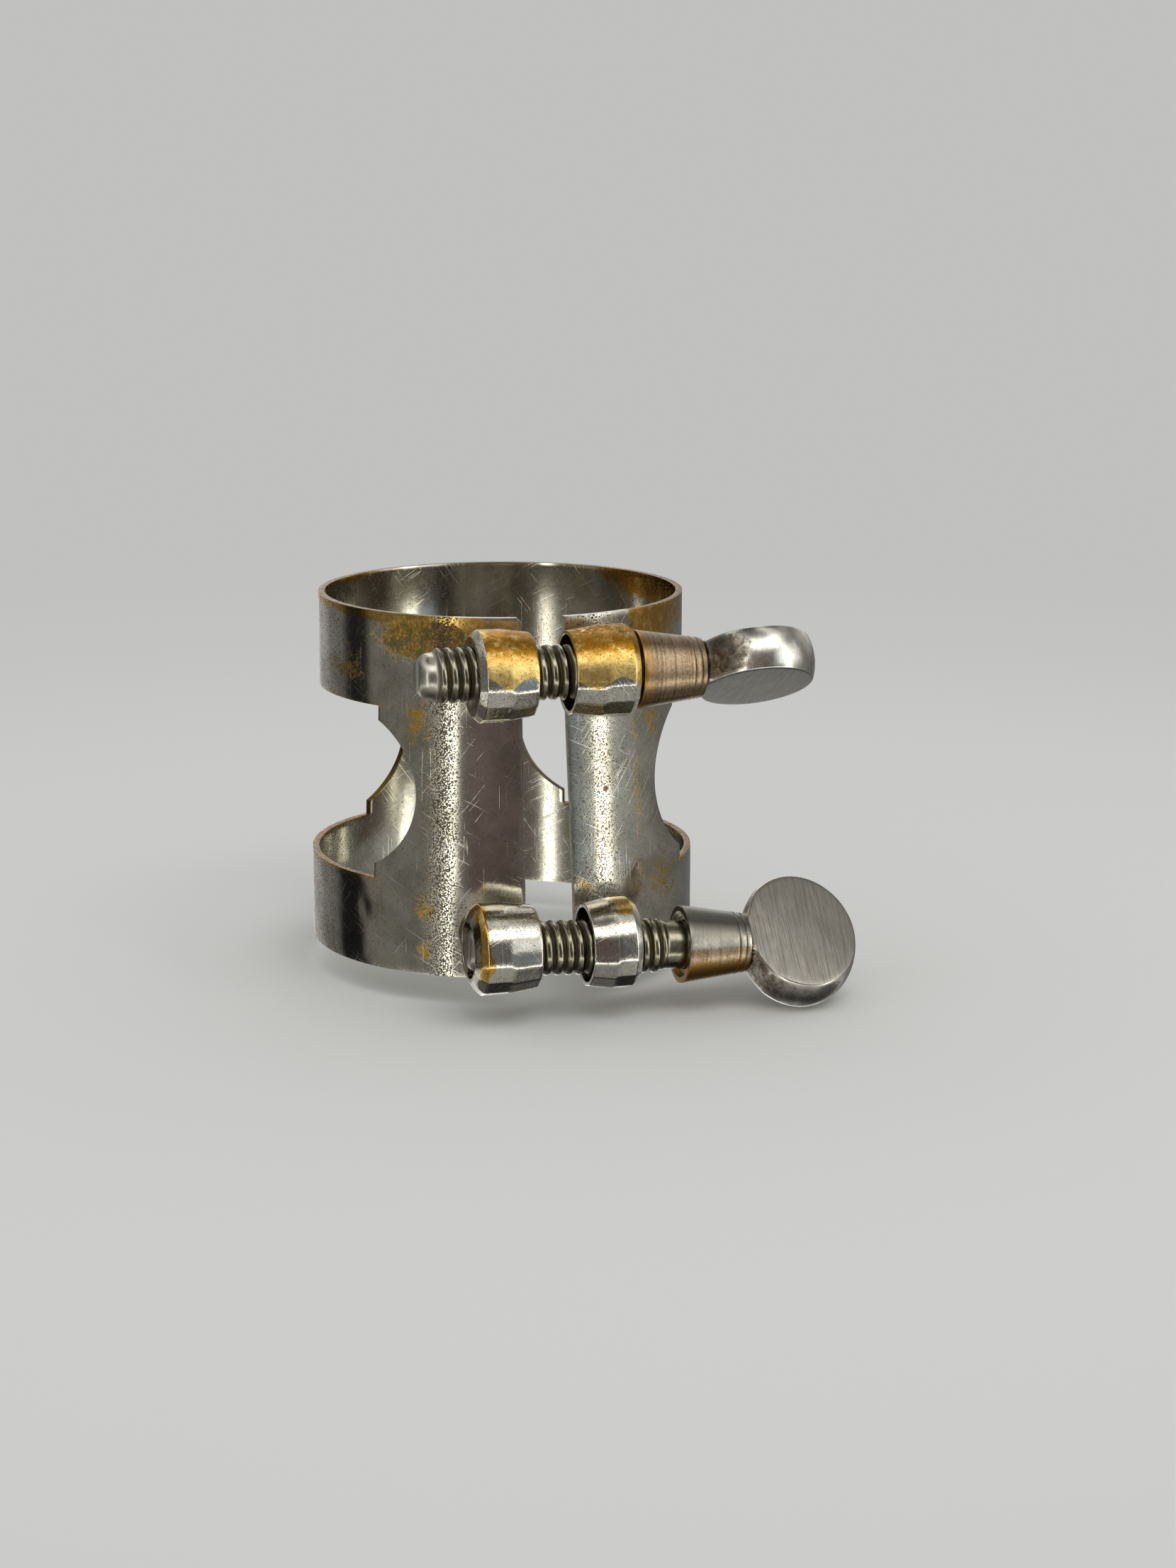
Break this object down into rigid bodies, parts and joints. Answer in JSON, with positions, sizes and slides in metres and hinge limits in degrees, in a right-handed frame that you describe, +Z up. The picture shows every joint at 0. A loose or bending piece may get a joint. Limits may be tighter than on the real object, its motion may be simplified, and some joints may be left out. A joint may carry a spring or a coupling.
{
  "type": "two-screw reed ligature",
  "caption": "Metal ligature: a split sheet band with side windows and posts for clamping screws with thumb discs, closing round a mouthpiece.",
  "frame": {"origin": "on the bore axis, in the plane of the lower band's bottom edge", "axes": "+Z up the bore towards the narrow end; the opening, posts and screws are on the -Y side; the screws run along X with their thumb discs towards +X"},
  "size_m": [0.0376, 0.0372, 0.0293],
  "materials": {
    "nickel_plated_sheet": "worn nickel plate over brass sheet, brass showing on the edges",
    "worn_post": "nickel plate worn through to polished brass",
    "solder": "dull tarnished silver solder",
    "screw_thread": "nickel plate with dark tarnish in the grooves",
    "turned_collar": "turned, with brown worn plating",
    "filed_disc": "nickel plate, filed faces and polished rim"
  },
  "bodies": {
    "ligature_body": {"band": "nickel_plated_sheet", "upper_threaded_post": "worn_post", "upper_clearance_post": "worn_post", "lower_threaded_post": "worn_post", "lower_clearance_post": "worn_post", "upper_threaded_post_solder": "solder", "upper_clearance_post_solder": "solder", "lower_threaded_post_solder": "solder", "lower_clearance_post_solder": "solder"},
    "upper_collar": {"upper_screw_collar": "turned_collar"},
    "upper_screw": {"upper_screw_shank": "screw_thread", "upper_thumb_disc": "filed_disc"},
    "lower_collar": {"lower_screw_collar": "turned_collar"},
    "lower_screw": {"lower_screw_shank": "screw_thread", "lower_thumb_disc": "filed_disc"}
  },
  "joints": [
    {"name": "upper_screw_travel", "type": "slide", "parent": "ligature_body", "child": "upper_collar", "axis": [0.9999, 0, -0.0157], "range_m": [-0.00015, 0.0065]},
    {"name": "upper_screw_turn", "type": "hinge", "parent": "upper_collar", "child": "upper_screw", "pos_m": [0.0058, -0.017, 0.02338], "axis": [0.9999, 0, -0.0157], "range_deg": [-67, 2855]},
    {"name": "lower_screw_travel", "type": "slide", "parent": "ligature_body", "child": "lower_collar", "axis": [0.999, 0, -0.0454], "range_m": [-0.00342, 0.0031]},
    {"name": "lower_screw_turn", "type": "hinge", "parent": "lower_collar", "child": "lower_screw", "pos_m": [0.00917, -0.01785, 0.00262], "axis": [0.999, 0, -0.0454], "range_deg": [-1503, 1362]}
  ],
  "couplings": [
    {"joint": "upper_screw_turn", "follows": "upper_screw_travel", "rad_per_m": 7662.4},
    {"joint": "lower_screw_turn", "follows": "lower_screw_travel", "rad_per_m": 7662.4}
  ]
}
